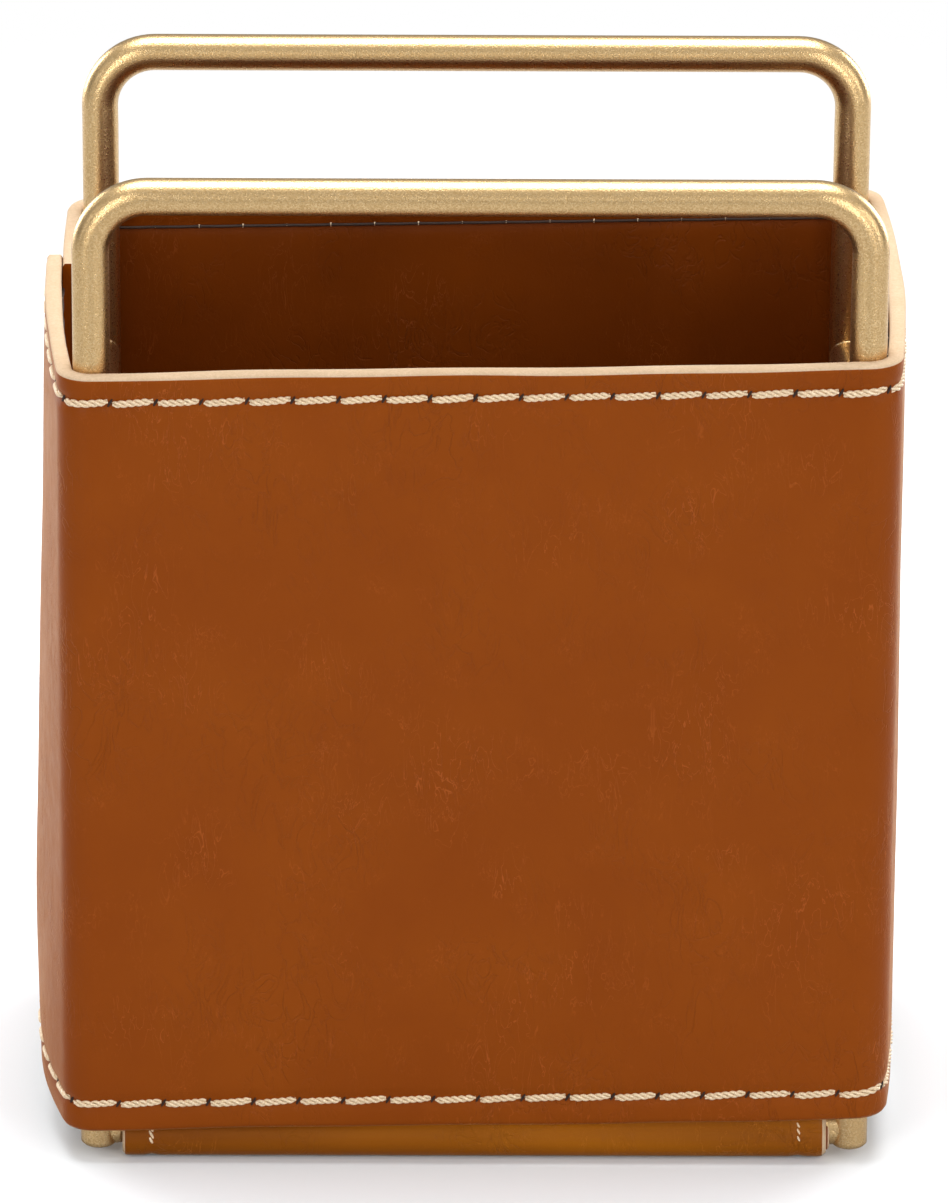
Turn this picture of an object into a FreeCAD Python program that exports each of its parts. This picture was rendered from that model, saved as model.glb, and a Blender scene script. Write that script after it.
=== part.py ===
"""Pen holder cup: a brass rod frame inside a stitched leather sleeve, on a leather-wrapped base.

Millimetres, +Z up.  The origin is the centre of the footprint on the surface that the cup
stands on; the front faces -Y and the lap of the sleeve is on the left, at -X.
"""
import FreeCAD, Part
import math
import os

import Sketcher

Vector = FreeCAD.Vector
UP = Vector(0, 0, 1)

# alias, value, what it is
DIMENSIONS = [
    ("rod_dia", 4.2, "diameter of every rod in the frame"),
    ("leg_span_x", 87.0, "leg axis to leg axis, left to right"),
    ("leg_span_y", 49.0, "leg axis to leg axis, front to rear"),
    ("foot_height", 1.1, "ends of the legs above the surface"),
    ("bar_height", 116.6, "axis of the top bars above the surface"),
    ("bend_radius", 6.4, "hoop bends, at the rod's axis"),
    ("foot_chamfer", 0.3, "broken edge at the legs' cut ends"),
    ("upper_tie_height", 79.9, "axis of the upper side ties"),
    ("lower_tie_height", 8.0, "axis of the lower side ties"),
    ("bead_ring", 2.25, "mean radius of a braze bead round a tie"),
    ("bead_size", 0.6, "section radius of a braze bead"),
    ("skin", 1.0, "thickness of the sleeve's outer leather"),
    ("lining", 0.8, "thickness of the sleeve's lining leather"),
    ("sleeve_bottom", 5.0, "lower edge of the sleeve"),
    ("sleeve_height", 92.3, "width of the leather strip"),
    ("right_reach", 4.25, "crest of the right wall's glue line beyond the leg axes"),
    ("lap_reach", 5.65, "crest of the left wall's glue line, outer end of the strip"),
    ("lap_gap", 0.05, "clearance between the two ends of the strip in the lap"),
    ("lap_start", 7.5, "where the strip's inner end stops, along Y"),
    ("lap_end", 13.0, "where the strip's outer end stops, along Y"),
    ("base_height", 3.4, "axis of the base rods above the surface"),
    ("base_span_y", 48.2, "base rod axis to base rod axis, front to rear"),
    ("wrap", 0.7, "thickness of the base's outer leather"),
    ("under_wrap", 0.6, "thickness of the base's inner leather"),
    ("wrap_left", 40.4, "left end of the outer base leather, from the middle"),
    ("wrap_right", 40.8, "right end of the outer base leather, from the middle"),
    ("under_left", 40.8, "left end of the inner base leather, from the middle"),
    ("under_right", 41.3, "right end of the inner base leather, from the middle"),
    ("sleeve_relief", 0.1, "clearance between the base and the sleeve's lower edge"),
    ("board_length", 80.0, "base board, left to right"),
    ("board_fit", 0.1, "clearance between the board and each base rod"),
    ("thread", 0.95, "width of the thread where it lies on the leather"),
    ("stitch_length", 3.9, "length of one stitch"),
    ("stitch_pitch", 5.1, "stitch to stitch round the sleeve and the base"),
    ("top_inset", 3.1, "top thread row below the rim"),
    ("bottom_inset", 3.3, "bottom thread row above the sleeve's lower edge"),
    ("seam_place", 10.0, "thread row that closes the lap, along Y"),
    ("seam_pitch", 4.2, "stitch to stitch in the lap"),
    ("seam_stitch", 3.2, "length of one stitch in the lap"),
    ("base_row_left", 37.1, "thread row near the base's left end, from the middle"),
    ("base_row_right", 37.2, "thread row near the base's right end, from the middle"),
    ("low_stitch_turn", 15.0, "degrees below level of the base's front and rear stitches"),
]

doc = FreeCAD.newDocument("pen_holder_cup")
dims = doc.addObject("Spreadsheet::Sheet", "dims")
for row, (alias, value, note) in enumerate(DIMENSIONS, start=1):
    dims.set(f"A{row}", note)
    dims.set(f"B{row}", str(value))
    dims.setAlias(f"B{row}", alias)
doc.recompute()

parts = []


def size(alias):
    """A driving dimension, as a plain number."""
    return float(getattr(dims, alias))


def part(obj, label):
    """Give a finished sub-part its name and list it for writing."""
    obj.Label = label
    parts.append(obj)
    return obj


def add_sketch(owner, name, plane=None):
    """A sketch in a body, on one of the body's own origin planes, or loose in the document."""
    if plane is None:
        return owner.addObject("Sketcher::SketchObject", name)
    sketch = owner.newObject("Sketcher::SketchObject", name)
    support = next(item for item in owner.Origin.OriginFeatures if item.Role == plane)
    sketch.AttachmentSupport = [(support, "")]
    sketch.MapMode = "FlatFace"
    return sketch


def bind(sketch, name, constraint, expression):
    """Add a named constraint whose value follows the sheet."""
    index = sketch.addConstraint(Sketcher.Constraint(*constraint))
    sketch.renameConstraint(index, name)
    sketch.setExpression(f"Constraints.{name}", expression)


def arc(center, radius, start, end):
    """A counter-clockwise arc in a sketch's plane; angles in degrees."""
    circle = Part.Circle(Vector(*center, 0), UP, radius)
    return Part.ArcOfCircle(circle, math.radians(start), math.radians(end))


def line(start, end):
    return Part.LineSegment(Vector(*start, 0), Vector(*end, 0))


# ---------------------------------------------------------------- rod frame

def hoop(label, side):
    """One rod bent to an upside-down U; side is -1 at the front and 1 at the rear."""
    body = doc.addObject("PartDesign::Body", label)
    half = size("leg_span_x") / 2
    rise = size("bar_height") - size("foot_height")
    bend = size("bend_radius")

    path = add_sketch(body, label + "_path", "XZ_Plane")
    path.addGeometry(line((-half, 0), (-half, rise - bend)))
    path.addGeometry(arc((-half + bend, rise - bend), bend, 90, 180))
    path.addGeometry(line((-half + bend, rise), (half - bend, rise)))
    path.addGeometry(arc((half - bend, rise - bend), bend, 0, 90))
    path.addGeometry(line((half, rise - bend), (half, 0)))
    for joint in ((0, 2, 1, 2), (1, 1, 2, 1), (2, 2, 3, 2), (3, 1, 4, 1)):
        path.addConstraint(Sketcher.Constraint("Tangent", *joint))
    path.addConstraint(Sketcher.Constraint("Horizontal", 2))
    path.addConstraint(Sketcher.Constraint("Equal", 1, 3))
    path.addConstraint(Sketcher.Constraint("Symmetric", 0, 1, 4, 2, -1, 1))
    path.addConstraint(Sketcher.Constraint("Vertical", 0))
    path.addConstraint(Sketcher.Constraint("Vertical", 4))
    bind(path, "span", ("DistanceX", 0, 1, 4, 2, 2 * half), "dims.leg_span_x")
    bind(path, "bend", ("Radius", 1, bend), "dims.bend_radius")
    bind(path, "rise", ("DistanceY", 0, 1, 2, 1, rise), "dims.bar_height - dims.foot_height")

    section = add_sketch(body, label + "_section", "XY_Plane")
    section.addGeometry(Part.Circle(Vector(-half, 0, 0), UP, size("rod_dia") / 2))
    section.addConstraint(Sketcher.Constraint("PointOnObject", 0, 3, -1))
    bind(section, "leg", ("DistanceX", 0, 3, -1, 1, half), "dims.leg_span_x / 2")
    bind(section, "rod", ("Diameter", 0, size("rod_dia")), "dims.rod_dia")
    doc.recompute()

    rod = body.newObject("PartDesign::AdditivePipe", label + "_rod")
    rod.Profile = section
    rod.Spine = (path, [])
    doc.recompute()

    ends = [
        f"Edge{number}"
        for number, edge in enumerate(rod.Shape.Edges, start=1)
        if edge.BoundBox.ZMax < size("foot_chamfer") / 2
    ]
    feet = body.newObject("PartDesign::Chamfer", label + "_feet")
    feet.Base = (rod, ends)
    feet.setExpression("Size", "dims.foot_chamfer")
    body.Tip = feet
    body.setExpression("Placement.Base.y", f"{side} * dims.leg_span_y / 2")
    body.setExpression("Placement.Base.z", "dims.foot_height")
    return part(body, label)


def round_bar(name, direction, center, length):
    """A cylinder along +X or +Y, its middle at center; every size is an expression."""
    bar = doc.addObject("Part::Cylinder", name)
    bar.Placement.Rotation = FreeCAD.Rotation(UP, direction)
    bar.setExpression("Radius", "dims.rod_dia / 2")
    bar.setExpression("Height", length)
    start = dict(zip("xyz", center))
    axis = "x" if direction.x else "y"
    start[axis] = f"{start[axis]} - ({length}) / 2"
    for name_of_axis, expression in start.items():
        bar.setExpression(f"Placement.Base.{name_of_axis}", expression)
    return bar


def coped_bar(label, direction, center, length, hoops):
    """A rod whose ends are cut to fit against the legs that it runs between."""
    blank = round_bar(label + "_blank", direction, center, length)
    coped = doc.addObject("Part::Cut", label)
    coped.Base = blank
    coped.Tool = hoops
    return part(coped, label)


def braze_beads(hoops, ties):
    """A fillet of braze round each end of each tie, kept clear of the rods by two cuts."""
    rings = []
    for height in ("dims.upper_tie_height", "dims.lower_tie_height"):
        for side_x in (-1, 1):
            for side_y in (-1, 1):
                ring = doc.addObject("Part::Torus", "bead")
                ring.Placement.Rotation = FreeCAD.Rotation(UP, Vector(0, 1, 0))
                ring.setExpression("Radius1", "dims.bead_ring")
                ring.setExpression("Radius2", "dims.bead_size")
                ring.setExpression("Placement.Base.x", f"{side_x} * dims.leg_span_x / 2")
                ring.setExpression(
                    "Placement.Base.y", f"{side_y} * (dims.leg_span_y - dims.rod_dia) / 2")
                ring.setExpression("Placement.Base.z", height)
                rings.append(ring)
    group = doc.addObject("Part::Compound", "bead_rings")
    group.Links = rings
    clear_of_legs = doc.addObject("Part::Cut", "beads_at_legs")
    clear_of_legs.Base = group
    clear_of_legs.Tool = hoops
    tie_bars = doc.addObject("Part::Compound", "tie_bars")
    tie_bars.Links = ties
    beads = doc.addObject("Part::Cut", "braze_beads")
    beads.Base = clear_of_legs
    beads.Tool = tie_bars
    return part(beads, "braze_beads")


# ---------------------------------------------------------------- leather sleeve

def bow_radius(reach, crest, corner):
    """Radius of a wall that crests at reach beyond a leg's axis, crest away along Y,
    and runs smoothly into the corner's arc round that leg."""
    return (crest ** 2 + reach ** 2 - corner ** 2) / (2 * (reach - corner))


def bow_expression(reach, crest, corner):
    return f"(({crest})^2 + ({reach})^2 - ({corner})^2) / (2 * (({reach}) - ({corner})))"


def sleeve_path():
    """The glue line between skin and lining, seen from above, from the strip's inner end
    clockwise round the four legs to its outer end, which laps over the inner one."""
    half_x = size("leg_span_x") / 2
    half_y = size("leg_span_y") / 2
    corner = size("rod_dia") / 2 + size("lining")
    lap_reach = size("lap_reach")
    tuck_reach = lap_reach - size("skin") - size("lining") - size("lap_gap")
    lap_start = size("lap_start")
    lap_end = size("lap_end")

    def bow(side, reach, crest_y, corner_y):
        """Centre and radius of a wall's arc, and its angle at the corner it runs into."""
        radius = bow_radius(reach, abs(corner_y - crest_y), corner)
        center = (side * (half_x + reach - radius), crest_y)
        angle = math.degrees(math.atan2(corner_y - crest_y, side * half_x - center[0]))
        return center, radius, angle % 360

    tuck, tuck_radius, tuck_turn = bow(-1, tuck_reach, lap_start, half_y)
    right, right_radius, right_turn = bow(1, size("right_reach"), 0, half_y)
    lap, lap_radius, lap_turn = bow(-1, lap_reach, lap_start, -half_y)
    lap_angle = 180 - math.degrees(math.asin((lap_end - lap_start) / lap_radius))

    path = add_sketch(doc, "sleeve_path")
    path.addGeometry(arc(tuck, tuck_radius, tuck_turn, 180))
    path.addGeometry(arc((-half_x, half_y), corner, 90, tuck_turn))
    path.addGeometry(line((-half_x, half_y + corner), (half_x, half_y + corner)))
    path.addGeometry(arc((half_x, half_y), corner, right_turn, 90))
    path.addGeometry(arc(right, right_radius, -right_turn, right_turn))
    path.addGeometry(arc((half_x, -half_y), corner, 270, 360 - right_turn))
    path.addGeometry(line((half_x, -half_y - corner), (-half_x, -half_y - corner)))
    path.addGeometry(arc((-half_x, -half_y), corner, lap_turn, 270))
    path.addGeometry(arc(lap, lap_radius, lap_angle, lap_turn))

    for joint in ((0, 1, 1, 2), (1, 1, 2, 1), (2, 2, 3, 2), (3, 1, 4, 2), (4, 1, 5, 2),
                  (5, 1, 6, 1), (6, 2, 7, 2), (7, 1, 8, 2)):
        path.addConstraint(Sketcher.Constraint("Tangent", *joint))
    corner_expression = "dims.rod_dia / 2 + dims.lining"
    corners = ((1, 1, -1, 1), (2, 3, 1, 1), (3, 5, 1, -1), (4, 7, -1, -1))
    for number, geometry, side_x, side_y in corners:
        bind(path, f"corner_{number}", ("Radius", geometry, corner), corner_expression)
        bind(path, f"leg_x_{number}", ("DistanceX", -1, 1, geometry, 3, side_x * half_x),
             f"{side_x} * dims.leg_span_x / 2")
        bind(path, f"leg_y_{number}", ("DistanceY", -1, 1, geometry, 3, side_y * half_y),
             f"{side_y} * dims.leg_span_y / 2")
    tuck_expression = "dims.lap_reach - dims.skin - dims.lining - dims.lap_gap"
    half_expression = "dims.leg_span_y / 2"
    bind(path, "tuck_bow", ("Radius", 0, tuck_radius),
         bow_expression(tuck_expression, f"{half_expression} - dims.lap_start", corner_expression))
    bind(path, "right_bow", ("Radius", 4, right_radius),
         bow_expression("dims.right_reach", half_expression, corner_expression))
    bind(path, "lap_bow", ("Radius", 8, lap_radius),
         bow_expression("dims.lap_reach", f"{half_expression} + dims.lap_start", corner_expression))
    bind(path, "inner_end", ("DistanceY", -1, 1, 0, 2, lap_start), "dims.lap_start")
    bind(path, "outer_end", ("DistanceY", -1, 1, 8, 1, lap_end), "dims.lap_end")
    doc.recompute()
    return path


def leather_strip(label, path, thickness):
    """A strip of leather that follows the path; a positive thickness is outside it."""
    section = doc.addObject("Part::Offset2D", label + "_section")
    section.Source = path
    section.Mode = "Skin"
    section.Fill = True
    section.setExpression("Value", thickness)
    strip = doc.addObject("Part::Extrusion", label)
    strip.Base = section
    strip.DirMode = "Custom"
    strip.Dir = UP
    strip.Solid = True
    strip.setExpression("LengthFwd", "dims.sleeve_height")
    strip.setExpression("Placement.Base.z", "dims.sleeve_bottom")
    return part(strip, label)


# ---------------------------------------------------------------- base

def slot_outline(sketch, name, first, radius, expression):
    """A closed slot round both base rods, in the YZ plane of a base leather."""
    half = size("base_span_y") / 2
    height = size("base_height")
    sketch.addGeometry(arc((-half, height), radius, 90, 270))
    sketch.addGeometry(line((-half, height - radius), (half, height - radius)))
    sketch.addGeometry(arc((half, height), radius, -90, 90))
    sketch.addGeometry(line((half, height + radius), (-half, height + radius)))
    for joint in ((first, 2, first + 1, 1), (first + 1, 2, first + 2, 1),
                  (first + 2, 2, first + 3, 1), (first + 3, 2, first, 1)):
        sketch.addConstraint(Sketcher.Constraint("Tangent", *joint))
    for side, geometry in ((-1, first), (1, first + 2)):
        end = "front" if side < 0 else "rear"
        bind(sketch, f"{name}_{end}_y", ("DistanceX", -1, 1, geometry, 3, side * half),
             f"{side} * dims.base_span_y / 2")
        bind(sketch, f"{name}_{end}_z", ("DistanceY", -1, 1, geometry, 3, height),
             "dims.base_height")
    bind(sketch, name + "_radius", ("Radius", first, radius), expression)


def base_leather(label, under, thickness, left, right):
    """One layer of leather round the base rods and the board, relieved where the sleeve's
    lower edge presses it in.  The layers under it, its own thickness and its two ends are
    named by their aliases."""
    body = doc.addObject("PartDesign::Body", label)
    section = add_sketch(body, label + "_section", "YZ_Plane")
    inner = size("rod_dia") / 2 + sum(size(alias) for alias in under)
    inner_expression = " + ".join(["dims.rod_dia / 2"] + [f"dims.{alias}" for alias in under])
    slot_outline(section, "inner", 0, inner, inner_expression)
    slot_outline(section, "outer", 4, inner + size(thickness),
                 f"{inner_expression} + dims.{thickness}")
    doc.recompute()
    layer = body.newObject("PartDesign::Pad", label + "_layer")
    layer.Profile = section
    layer.setExpression("Length", f"dims.{left} + dims.{right}")
    doc.recompute()

    relief = add_sketch(body, label + "_relief", "YZ_Plane")
    inside = size("leg_span_y") / 2 + size("rod_dia") / 2 - size("sleeve_relief")
    low = size("sleeve_bottom") - size("sleeve_relief")
    reach = size("leg_span_y")
    for number, side in enumerate((-1, 1)):
        corners = [(side * inside, low), (side * reach, low),
                   (side * reach, reach), (side * inside, reach)]
        first = 4 * number
        for start, end in zip(corners, corners[1:] + corners[:1]):
            relief.addGeometry(line(start, end))
        for edge in range(4):
            relief.addConstraint(
                Sketcher.Constraint("Coincident", first + edge, 2, first + (edge + 1) % 4, 1))
        for edge in (0, 2):
            relief.addConstraint(Sketcher.Constraint("Horizontal", first + edge))
            relief.addConstraint(Sketcher.Constraint("Vertical", first + edge + 1))
        bind(relief, f"inside_{number}", ("DistanceX", -1, 1, first, 1, side * inside),
             f"{side} * ((dims.leg_span_y + dims.rod_dia) / 2 - dims.sleeve_relief)")
        bind(relief, f"low_{number}", ("DistanceY", -1, 1, first, 1, low),
             "dims.sleeve_bottom - dims.sleeve_relief")
        bind(relief, f"reach_{number}", ("DistanceX", -1, 1, first, 2, side * reach),
             f"{side} * dims.leg_span_y")
        bind(relief, f"top_{number}", ("DistanceY", -1, 1, first + 2, 1, reach), "dims.leg_span_y")
    doc.recompute()
    cut = body.newObject("PartDesign::Pocket", label + "_cut")
    cut.Profile = relief
    cut.Type = "ThroughAll"
    cut.Midplane = True
    body.Tip = cut
    body.setExpression("Placement.Base.x", f"-dims.{left}")
    doc.recompute()
    return part(body, label)


def base_board():
    """The stiff board between the base rods."""
    board = doc.addObject("Part::Box", "base_board")
    board.setExpression("Length", "dims.board_length")
    board.setExpression("Width", "dims.base_span_y - dims.rod_dia - 2 * dims.board_fit")
    board.setExpression("Height", "dims.rod_dia")
    board.setExpression("Placement.Base.x", "-dims.board_length / 2")
    board.setExpression(
        "Placement.Base.y", "-(dims.base_span_y - dims.rod_dia) / 2 + dims.board_fit")
    board.setExpression("Placement.Base.z", "dims.base_height - dims.rod_dia / 2")
    return part(board, "base_board")


# ---------------------------------------------------------------- stitches

def thread_bar(edge, outward):
    """A half-round bar of thread that lies along an edge, its flat side on the leather."""
    start = edge.valueAt(edge.FirstParameter)
    tangent = edge.tangentAt(edge.FirstParameter)
    radius = size("thread") / 2
    across = tangent.cross(outward).normalize() * radius
    crown = Part.Arc(start - across, start + outward * radius, start + across).toShape()
    flat = Part.LineSegment(start + across, start - across).toShape()
    return Part.Wire([edge]).makePipe(Part.Face(Part.Wire([crown, flat])))


def run_of_stitches(run, outward_at, lift, length, pitch):
    """Whole stitches, evenly spaced along a run that lies inside the leather; each lies
    where the run's points, moved outward by lift, meet the leather's face."""
    count = max(1, round(run.Length / pitch))
    step = run.Length / count
    half = min(length, step * length / pitch) / 2
    bars = []
    for number in range(count):
        middle = (number + 0.5) * step
        points = []
        for place in (middle - half, middle, middle + half):
            point = run.valueAt(run.getParameterByLength(place))
            points.append(point + outward_at(point) * lift)
        straight = isinstance(run.Curve, Part.Line)
        curve = Part.LineSegment(points[0], points[2]) if straight else Part.Arc(*points)
        bars.append(thread_bar(curve.toShape(), outward_at(points[0])))
    return bars


def stitch_row(label, bars):
    """A row of stitches is one node of separate solids, each made along the leather."""
    row = doc.addObject("Part::Feature", label)
    row.Shape = Part.makeCompound(bars)
    row.Placement = FreeCAD.Placement()
    return part(row, label)


def outward_from(run):
    """The direction out of the sleeve at a point of one run of its path."""
    if isinstance(run.Curve, Part.Circle):
        center = run.Curve.Center
        return lambda point: Vector(point.x - center.x, point.y - center.y, 0).normalize()
    outward = Vector(0, math.copysign(1, run.BoundBox.YMin), 0)
    return lambda point: outward


def beyond_lap(run):
    """The stretch of the inner end's wall that the lap doesn't cover, raised with it."""
    center = run.Curve.Center
    radius = run.Curve.Radius
    rise = size("lap_end") + size("thread") - center.y
    start = center + Vector(-math.sqrt(radius ** 2 - rise ** 2), rise, 0)
    end = max((run.valueAt(value) for value in run.ParameterRange), key=lambda point: point.y)
    middle = center + ((start + end) / 2 - center).normalize() * radius
    return Part.Arc(start, middle, end).toShape()


def sleeve_row(label, path, height):
    """One thread row round the sleeve, starting and ending at the lap's outer end."""
    bars = []
    inner_end, *others = [geometry.toShape() for geometry in path.Geometry]
    for edge in [beyond_lap(inner_end)] + others:
        run = edge.translated(UP * height)
        bars += run_of_stitches(
            run, outward_from(run), size("skin"), size("stitch_length"), size("stitch_pitch"))
    return stitch_row(label, bars)


def seam_row(path):
    """The vertical thread row that closes the lap."""
    wall = path.Geometry[-1]
    rise = size("seam_place") - wall.Center.y
    foot = wall.Center + Vector(-math.sqrt(wall.Radius ** 2 - rise ** 2), rise, 0)
    outward = (foot - wall.Center).normalize()
    clear = 2 * size("thread")
    low = size("sleeve_bottom") + size("bottom_inset") + clear
    high = size("sleeve_bottom") + size("sleeve_height") - size("top_inset") - clear
    run = Part.LineSegment(foot + UP * low, foot + UP * high).toShape()
    bars = run_of_stitches(
        run, lambda point: outward, size("skin"), size("seam_stitch"), size("seam_pitch"))
    return stitch_row("side_seam_stitches", bars)


def base_row(label, place):
    """A thread row over the base: one stitch low on its front and rear, a row on its top."""
    half = size("base_span_y") / 2
    height = size("base_height")
    radius = size("rod_dia") / 2 + size("under_wrap") + size("wrap")
    sweep = size("stitch_length") / radius
    bars = []
    for side in (-1, 1):
        center = Vector(place, side * half, height)
        middle = math.radians(size("low_stitch_turn"))
        turns = [middle - sweep / 2, middle, middle + sweep / 2]
        points = [center + Vector(0, side * math.cos(turn), -math.sin(turn)) * radius
                  for turn in turns]
        edge = Part.Arc(*points).toShape()
        bars.append(thread_bar(edge, (points[0] - center).normalize()))
    front = Vector(place, -half, height)
    rear = Vector(place, half, height)
    bars += run_of_stitches(Part.LineSegment(front, rear).toShape(), lambda point: UP,
                            radius, size("stitch_length"), size("stitch_pitch"))
    return stitch_row(label, bars)


# ---------------------------------------------------------------- the assembly

hoops = doc.addObject("Part::Compound", "hoops")
hoops.Links = [hoop("front_hoop", -1), hoop("rear_hoop", 1)]

ALONG_X = Vector(1, 0, 0)
ALONG_Y = Vector(0, 1, 0)
ties = []
for level in ("upper", "lower"):
    for side_name, side in (("left", -1), ("right", 1)):
        middle = (f"{side} * dims.leg_span_x / 2", "0", f"dims.{level}_tie_height")
        ties.append(coped_bar(
            f"{level}_{side_name}_tie", ALONG_Y, middle, "dims.leg_span_y", hoops))
for side_name, side in (("front", -1), ("rear", 1)):
    middle = ("0", f"{side} * dims.base_span_y / 2", "dims.base_height")
    coped_bar(f"{side_name}_base_rod", ALONG_X, middle, "dims.leg_span_x", hoops)
doc.recompute()
braze_beads(hoops, ties)

sleeve = sleeve_path()
leather_strip("sleeve_outer_leather", sleeve, "dims.skin")
leather_strip("sleeve_lining_leather", sleeve, "-dims.lining")

base_leather("base_wrap_leather", ["under_wrap"], "wrap", "wrap_left", "wrap_right")
base_leather("base_inner_leather", [], "under_wrap", "under_left", "under_right")
base_board()

rim = size("sleeve_bottom") + size("sleeve_height")
sleeve_row("top_edge_stitches", sleeve, rim - size("top_inset"))
sleeve_row("bottom_edge_stitches", sleeve, size("sleeve_bottom") + size("bottom_inset"))
seam_row(sleeve)
base_row("base_left_stitches", -size("base_row_left"))
base_row("base_right_stitches", size("base_row_right"))
doc.recompute()

for obj in doc.Objects:
    if {"Invalid", "Error"} & set(obj.State):
        raise RuntimeError(f"{obj.Label} did not recompute: {obj.State}")
for obj in parts:
    if obj.Shape.isNull() or not obj.Shape.isValid() or not obj.Shape.Solids:
        raise RuntimeError(f"{obj.Label} has no valid solid")

os.makedirs("parts", exist_ok=True)
for obj in parts:
    obj.Shape.exportStep(f"parts/{obj.Label}.step")
    print(f"{obj.Label}: {len(obj.Shape.Solids)} solid(s), {obj.Shape.Volume:.1f} mm3")
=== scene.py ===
import math
import random

import bmesh
import bpy
import numpy as np
from mathutils import Matrix, Vector


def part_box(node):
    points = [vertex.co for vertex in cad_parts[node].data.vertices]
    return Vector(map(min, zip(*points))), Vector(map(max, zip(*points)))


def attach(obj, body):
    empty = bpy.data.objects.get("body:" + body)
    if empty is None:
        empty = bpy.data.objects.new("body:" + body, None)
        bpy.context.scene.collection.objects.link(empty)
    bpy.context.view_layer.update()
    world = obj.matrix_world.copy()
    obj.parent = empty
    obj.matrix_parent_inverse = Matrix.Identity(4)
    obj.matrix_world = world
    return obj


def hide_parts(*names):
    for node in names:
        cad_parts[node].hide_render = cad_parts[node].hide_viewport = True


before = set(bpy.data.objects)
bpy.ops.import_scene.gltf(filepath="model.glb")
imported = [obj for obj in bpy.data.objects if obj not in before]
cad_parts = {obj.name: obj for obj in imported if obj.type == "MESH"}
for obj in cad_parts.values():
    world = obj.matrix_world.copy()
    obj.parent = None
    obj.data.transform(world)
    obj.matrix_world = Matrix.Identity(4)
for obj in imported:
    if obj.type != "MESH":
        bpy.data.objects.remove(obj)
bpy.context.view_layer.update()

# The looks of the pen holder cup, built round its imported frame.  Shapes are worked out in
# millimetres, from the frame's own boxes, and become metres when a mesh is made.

MM = 0.001
rng = random.Random(7)


def box_mm(node):
    low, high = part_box(node)
    return np.array(low) / MM, np.array(high) / MM


# ------------------------------------------------------------------ sizes from the frame

hoop_low, hoop_high = box_mm("front_hoop")
ROD = (hoop_high[1] - hoop_low[1]) / 2
LEG_X = hoop_high[0] - ROD
LEG_Y = -(hoop_low[1] + hoop_high[1]) / 2
FOOT_Z = hoop_low[2]
BAR_Z = hoop_high[2] - ROD
BEND = 6.4  # the hoops' bends, at the rod's axis, as in part.py

skin_low, skin_high = box_mm("sleeve_outer_leather")
lining_low, lining_high = box_mm("sleeve_lining_leather")
SLEEVE_BOTTOM = skin_low[2]
SLEEVE_TOP = skin_high[2]
SKIN = skin_high[0] - lining_high[0]
LINING = -lining_low[1] - LEG_Y - ROD
CORNER = ROD + LINING
RIGHT_REACH = lining_high[0] - LEG_X

wrap_low, wrap_high = box_mm("base_wrap_leather")
inner_low, inner_high = box_mm("base_inner_leather")
BASE_TOP = wrap_high[2]
BASE_FRONT = wrap_high[1]


# ------------------------------------------------------------------ mesh building

SHARP_ANGLE = 60  # degrees between faces from which an edge looks sharp
ODD_SIDE = (0.31, 0.87, 0.39)  # along no tube, so that a section can start from it


class Shape:
    """Collects points and faces, in millimetres, with a material slot for each face."""

    def __init__(self):
        self.points = []
        self.faces = []
        self.slots = []

    def add(self, points, faces, slots):
        first = sum(len(block) for block in self.points)
        self.points.append(np.asarray(points, float).reshape(-1, 3))
        self.faces += [tuple(first + corner for corner in face) for face in faces]
        self.slots += list(slots)

    def loops(self, rings, ring_slots=None, caps=True, closed=False):
        """A skin over rings of equal length, each a closed loop of points.  ring_slots gives
        the material slot of each side of a ring."""
        rings = np.asarray(rings, float)
        count, sides = rings.shape[:2]
        faces = []
        slots = []
        for ring in range(count if closed else count - 1):
            next_ring = (ring + 1) % count
            for side in range(sides):
                after = (side + 1) % sides
                faces.append((ring * sides + side, ring * sides + after,
                              next_ring * sides + after, next_ring * sides + side))
                slots.append(0 if ring_slots is None else ring_slots[side])
        if caps:
            faces.append(tuple(reversed(range(sides))))
            faces.append(tuple((count - 1) * sides + side for side in range(sides)))
            slots += [0, 0]
        self.add(rings, faces, slots)

    def build(self, name, materials, cad_nodes):
        """Makes the piece, with the materials given, which replaces the CAD nodes."""
        mesh = bpy.data.meshes.new(name)
        points = np.concatenate(self.points) * MM
        mesh.from_pydata(points.tolist(), [], self.faces)
        for material in materials:
            mesh.materials.append(material)
        mesh.polygons.foreach_set("material_index", self.slots)
        mesh.polygons.foreach_set("use_smooth", [True] * len(self.faces))
        solid = bmesh.new()
        solid.from_mesh(mesh)
        bmesh.ops.recalc_face_normals(solid, faces=solid.faces)
        solid.to_mesh(mesh)
        solid.free()
        mesh.set_sharp_from_angle(angle=math.radians(SHARP_ANGLE))
        piece = bpy.data.objects.new(name, mesh)
        bpy.context.scene.collection.objects.link(piece)
        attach(piece, "root")
        if cad_nodes:
            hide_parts(*cad_nodes)


def unit(vectors):
    vectors = np.asarray(vectors, float)
    return vectors / np.linalg.norm(vectors, axis=-1, keepdims=True)


def smooth_step(value):
    value = np.clip(value, 0, 1)
    return value * value * (3 - 2 * value)


def tube(shape, path, radii, sides, first_side=ODD_SIDE):
    """A round tube along a path, its section carried along without twisting."""
    path = np.asarray(path, float)
    radii = np.broadcast_to(radii, len(path))
    tangents = unit(np.gradient(path, axis=0))
    side = np.array(first_side, float)
    turns = np.arange(sides) * 2 * math.pi / sides
    rings = []
    for point, tangent, radius in zip(path, tangents, radii):
        side = unit(side - tangent * np.dot(side, tangent))
        other = np.cross(tangent, side)
        rings.append(point + radius * (
            np.outer(np.cos(turns), side) + np.outer(np.sin(turns), other)))
    shape.loops(rings)


# ------------------------------------------------------------------ materials

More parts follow.
